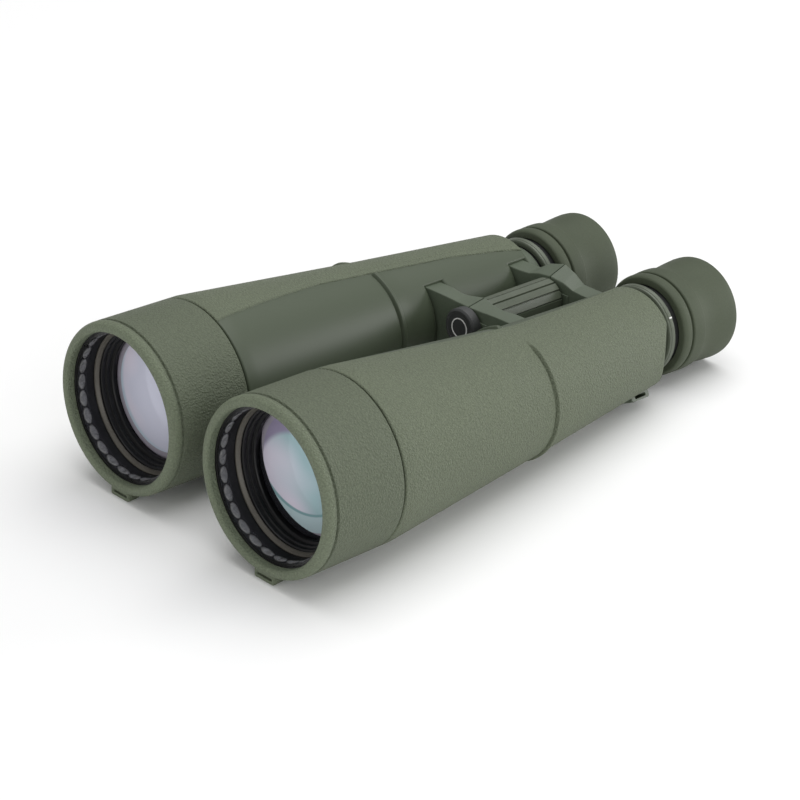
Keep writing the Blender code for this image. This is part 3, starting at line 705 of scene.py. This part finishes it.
# ---------------------------------------------------------------------------------------------
# Objective hoods.  Green rubber sleeves pushed over the objective tubes, with a rounded bumper
# lip, a fine moulded line behind it, and a slotted tether lug underneath.
# ---------------------------------------------------------------------------------------------
LUG_BOTTOM = -42.3
LUG_Y = (2.0, 8.0)
# Depths behind the front, in metres, over which the painted highlight on the lip fades in.
LIP_HIGHLIGHT_FADE = (0.0052, 0.0030)
lean = math.atan2(-along[2], along[1])


def hood_skin(x):
    """The turned sleeve.  It carries no `panel` mark, so the grain covers all of it."""
    profile = [(6.0, 39.3), (5.55, 38.3), (4.95, 38.3), (4.5, 39.3), (2.4, 39.2), (0.75, 38.3),
               (0.02, 36.8), (0.15, 35.5), (1.0, 34.55), (4.4, 34.5), (4.4, 37.2), (42.05, 37.2),
               (42.05, 39.3)]
    reach = np.array([0.3, 0.15, 0.15, 0.3, 1.2, 1.2, 1.2, 1.2, 0.8, 0.2, 0.2, 0.2, 0.6])[:, None]
    outline = eased(profile, reach, 7)
    angle = np.arange(256) * 2 * np.pi / 256
    y, radius = outline[:, :1], outline[:, 1:]
    return skin(placed(x + radius * np.cos(angle), y + 0 * angle, radius * np.sin(angle)))


def tether_lug(x):
    """A flat loop: an outer and an inner rounded outline in x and z, joined over the thickness of
    the loop along y.  Its underside follows the table: z falls by tan(lean) for each mm forward."""
    def outline(half, low, high, reach):
        return eased([(-half, high), (-half, low), (half, low), (half, high)], reach, 8)
    outer = outline(6.0, LUG_BOTTOM, -38.2, 0.9)
    inner = outline(4.6, -41.15, -40.0, 0.45)
    rings = [(outer, LUG_Y[0] + 0.35, 1), (outer, LUG_Y[1] - 0.3, 1),
             (outer, LUG_Y[1], 0.97), (inner, LUG_Y[1], 1.03), (inner, LUG_Y[1] - 0.3, 1),
             (inner, LUG_Y[0] + 0.3, 1), (inner, LUG_Y[0], 1.03), (outer, LUG_Y[0], 0.97)]
    points = np.stack([np.column_stack([ring[:, 0] * scale, np.full(len(ring), y),
                                        ring[:,
                                             1].mean() + (ring[:, 1] - ring[:, 1].mean()) * scale])
                       for ring, y, scale in rings])
    drop = np.where(points[..., 2] < -41.5, (LUG_Y[1] - points[..., 1]) * math.tan(lean), 0)
    return skin(placed(x + points[..., 0], points[..., 1], points[..., 2] - drop))


hood_rubber = armour_material("hood rubber", (0.102, 0.122, 0.079), (0.118, 0.139, 0.092),
                              (0.063, 0.080, 0.050), 0.0008)
hood_tree = hood_rubber.node_tree
hood_shader = hood_tree.nodes["Principled BSDF"]
# The front of the bumper lip is painted 1.35 times lighter: a painted highlight where the lip faces
# the lights.
lip_place = put(hood_tree, "ShaderNodeTexCoord").outputs["Object"]
lip_depth = put(hood_tree, "ShaderNodeVectorMath", {0: lip_place, 1: tuple(along)},
                operation="DOT_PRODUCT")
lip_start = float(front_middle @ along)
lip_highlight_share = put(hood_tree, "ShaderNodeMapRange", {"Value": lip_depth.outputs["Value"],
                                                  "From Min": lip_start + LIP_HIGHLIGHT_FADE[0],
                                                  "From Max": lip_start + LIP_HIGHLIGHT_FADE[1]})
hood_tone = hood_shader.inputs["Base Color"].links[0].from_socket
painted_lip_highlight = put(hood_tree, "ShaderNodeVectorMath", {0: hood_tone, "Scale": 1.35},
                 operation="SCALE")
lip_tone_with_highlight = put(hood_tree, "ShaderNodeMix", {"Factor": lip_highlight_share.outputs[0], "A": hood_tone,
                                            "B": painted_lip_highlight.outputs[0]}, data_type="RGBA")
hood_tree.links.new(lip_tone_with_highlight.outputs[2], hood_shader.inputs["Base Color"])
for side, sign in sides.items():
    x = sign * OBJECTIVE_X
    assembled(f"{side}_hood_moulded", [hood_skin(x), tether_lug(x)], hood_rubber, f"{side}_half",
              [f"{side}_objective_hood"])


# ---------------------------------------------------------------------------------------------
# Strap lugs.  Small cast loops painted like the bridge, screwed to the lower outer side of the
# prism housings through windows in the armour.
# ---------------------------------------------------------------------------------------------
STRAP_ANGLE = math.radians(26)


def strap_loop(sign):
    """A rounded block with a slot along the barrel: outer and inner outlines in y and depth,
    joined over its width, then turned out by 26 degrees from straight down."""
    def outline(y0, y1, low, high, reach):
        return eased([(y0, high), (y0, low), (y1, low), (y1, high)], reach, 8)
    outer = outline(218.4, 230.8, -27.6, -24.0, 1.3)
    inner = outline(221.0, 228.2, -26.5, -24.9, 0.7)
    rings = [(outer, -5.4, 0.95), (outer, -5.1, 1), (outer, 5.1, 1), (outer, 5.4, 0.95),
             (inner, 5.4, 1.05),
             (inner, 5.0, 1), (inner, -5.0, 1), (inner, -5.4, 1.05)]
    points = np.stack([np.column_stack([np.full(len(ring), width),
                                        ring.mean(0) + (ring - ring.mean(0)) * scale])
                       for ring, width, scale in rings])
    width, y, depth = points[..., 0], points[..., 1], points[..., 2]
    x = width * math.cos(STRAP_ANGLE) - depth * math.sin(STRAP_ANGLE)
    z = width * math.sin(STRAP_ANGLE) + depth * math.cos(STRAP_ANGLE)
    return skin(placed(sign * (barrel_x(224.6) + x), y, z))


for side, sign in sides.items():
    assembled(f"{side}_strap_loop", [strap_loop(sign)], bridge_paint, f"{side}_half",
              [f"{side}_strap_lug"])


# ---------------------------------------------------------------------------------------------
# Eyepieces.  Black tubes pressed into the back of each housing, with a coated eye lens, and a
# painted metal ring at the foot; the left one turns to set the difference between the eyes.
# ---------------------------------------------------------------------------------------------
OCULAR_R = 18.4
TICK_ANGLE = math.radians(33)
ring_paint = finish("ring paint", (0.085, 0.1, 0.072), (0.12, 0.138, 0.102), (0.34, 0.44),
                    speck_size=2200,
                    metallic=0.15)
for side, sign in sides.items():
    x = sign * EYEPIECE_X
    body = f"{side}_half"
    tube = [(235.0, 15.7), (242.7, 15.7), (242.7, OCULAR_R), (268.0, OCULAR_R), (268.0, 13.0),
            (266.8, 13.0),
            (266.8, 14.3), (235.0, 14.3)]
    assembled(f"{side}_eyepiece_tube_turned", [turned(tube, x)], black_anodised, body,
              [f"{side}_eyepiece_tube"])
    eye_glass = toned_glass(f"{side} eye lens coating", x, 262.0,
                             ((0.16, 0.2, 0.24), (0.2, 0.2, 0.28), []), 0.5, 0.8)
    assembled(f"{side}_eye_lens_polished", [lens_skin(258.6, 266.0, 34, -90, 14.0, x, 128)],
              eye_glass, body,
              [f"{side}_eye_lens"])
    ring = [(243.0, 20.5), (243.35, 21.35), (244.1, 21.6), (244.2, 21.35), (244.45, 21.35),
            (244.55, 21.65),
            (246.4, 21.9), (246.9, 21.35), (246.9, 18.7), (243.0, 18.7)]
    node = "left_dioptre_ring" if sign > 0 else "right_base_ring"
    assembled(f"{node}_turned", [turned(ring, x, ease=0.16)], ring_paint,
              "dioptre_ring" if sign > 0 else body, [node])


def index_tick(x, turn):
    """A short raised bar across the ring: a rounded outline in arc and radius, carried along y
    and turned about the eyepiece.  Both ends close on the outline's middle."""
    outline = eased([(-0.4, 21.2), (-0.4, 22.1), (0.4, 22.1), (0.4, 21.2)], 0.15, 4)
    middle = outline.mean(axis=0)
    share = np.array([0.0, 1.0, 1.0, 0.0])[:, None, None]
    section = middle + (outline - middle) * share
    arc, radius = section[..., 0], section[..., 1]
    y = np.array([244.7, 244.7, 246.3, 246.3])[:, None] + 0 * arc
    angle = turn + arc / 21.7
    return skin(placed(x + radius * np.cos(angle), y, radius * np.sin(angle)), looped=False)


assembled("left_index_tick", [index_tick(EYEPIECE_X, TICK_ANGLE)], white_print, "dioptre_ring")


# ---------------------------------------------------------------------------------------------
# Twist-up eyecups.  A black cam sleeve turns on the eyepiece tube and lifts a flared cup of
# smooth green rubber, with a collar, a dark moulded groove and a soft step below the flare.
# ---------------------------------------------------------------------------------------------
cam_plastic = finish("cam plastic", (0.012, 0.013, 0.013), (0.022, 0.023, 0.023), (0.38, 0.5))
eyecup_rubber = finish("eyecup rubber", (0.050, 0.063, 0.037), (0.071, 0.086, 0.054), (0.6, 0.7),
                       specular=0.35,
                       patch_size=35, speck_size=1300, bump=0.000014)
cup = [(250.5, 23.6), (251.0, 24.3), (252.6, 24.9), (255.0, 24.9), (256.0, 24.5), (256.2, 23.6),
       (257.1, 23.6), (257.2, 24.6), (257.7, 25.0), (261.5, 25.2), (264.9, 25.1), (265.4, 24.55),
       (269.0, 24.2), (273.5, 24.3), (279.4, 24.85), (285.7, 25.2), (288.5, 24.95), (289.3, 24.3),
       (289.1, 23.5), (286.8, 21.6), (273.2, 18.0), (272.2, 14.2), (270.4, 14.2), (270.4, 20.6),
       (250.5, 20.6)]
cup_reach = np.array([0.3, 0.5, 1.0, 0.7, 0.4, 0.12, 0.12, 0.2, 0.3, 1.5, 0.3, 0.25, 1.8, 2.0, 2.0,
                      2.0, 0.8,
                      0.5, 0.6, 1.2, 1.0, 0.3, 0.2, 0.3, 0.2])[:, None]
for side, sign in sides.items():
    x = sign * EYEPIECE_X
    cam = [(247.3, 20.2), (267.6, 20.2), (267.6, 18.7), (247.3, 18.7)]
    assembled(f"{side}_cam_sleeve", [turned(cam, x)], cam_plastic, f"{side}_cam",
              [f"{side}_eyecup_cam"])
    outline = eased(cup, cup_reach, 6)
    angle = np.arange(224) * 2 * np.pi / 224
    radius = outline[:, 1:]
    cup_mesh = skin(placed(x + radius * np.cos(angle), outline[:, :1] + 0 * angle,
                           radius * np.sin(angle)))
    assembled(f"{side}_eyecup_moulded", [cup_mesh], eyecup_rubber, f"{side}_cup",
              [f"{side}_eyecup"])


# ---------------------------------------------------------------------------------------------
# Table, light and camera.  A plain pale floor, broad soft lights from the front and above, and a
# long lens that looks down on the objectives from the user's left.
# ---------------------------------------------------------------------------------------------
CAMERA_SPOT = (672.43, -561.95, 440.16)
CAMERA_BACK = (0.6322, -0.6185, 0.4667)
CAMERA_LENS = 105.75

bpy.ops.mesh.primitive_plane_add(size=30)
floor = bpy.context.object
floor.name = "floor"
floor_paint = bpy.data.materials.new("pale floor")
floor_paint.use_nodes = True
floor_shader = floor_paint.node_tree.nodes["Principled BSDF"]
floor_shader.inputs["Base Color"].default_value = (0.94, 0.94, 0.94, 1)
floor_shader.inputs["Roughness"].default_value = 0.9
floor_shader.inputs["Specular IOR Level"].default_value = 0.1
floor.data.materials.append(floor_paint)

world = bpy.data.worlds.new("studio")
bpy.context.scene.world = world
world.use_nodes = True
world.node_tree.nodes["Background"].inputs["Color"].default_value = (1.0, 1.0, 1.0, 1)
world.node_tree.nodes["Background"].inputs["Strength"].default_value = 0.42

middle = (Vector(cad_low) + Vector(cad_high)) / 2
for name, spot, size, power in (("right key", (1.5, -0.9, 0.5), 1.0, 6.0),
                                ("rear key", (0.9, 1.5, 0.35), 0.8, 12.0),
                                ("overhead", (0.1, 0.6, 2.6), 3.0, 60.0),
                                ("front fill", (-0.5, -1.7, 0.6), 0.8, 3.0)):
    lamp = bpy.data.lights.new(name, "AREA")
    lamp.size = size
    lamp.energy = power
    holder = bpy.data.objects.new(name, lamp)
    bpy.context.scene.collection.objects.link(holder)
    holder.location = spot
    holder.rotation_euler = (middle - Vector(spot)).to_track_quat("-Z", "Y").to_euler()

camera = bpy.data.cameras.new("camera")
camera.lens = CAMERA_LENS
camera.sensor_width = 36.0
camera.clip_start = 0.05
viewer = bpy.data.objects.new("camera", camera)
bpy.context.scene.collection.objects.link(viewer)
viewer.location = Vector(placed(*CAMERA_SPOT))
viewer.rotation_euler = Vector(CAMERA_BACK).to_track_quat("Z", "Y").to_euler()
bpy.context.scene.camera = viewer
bpy.context.scene.view_settings.view_transform = "Standard"
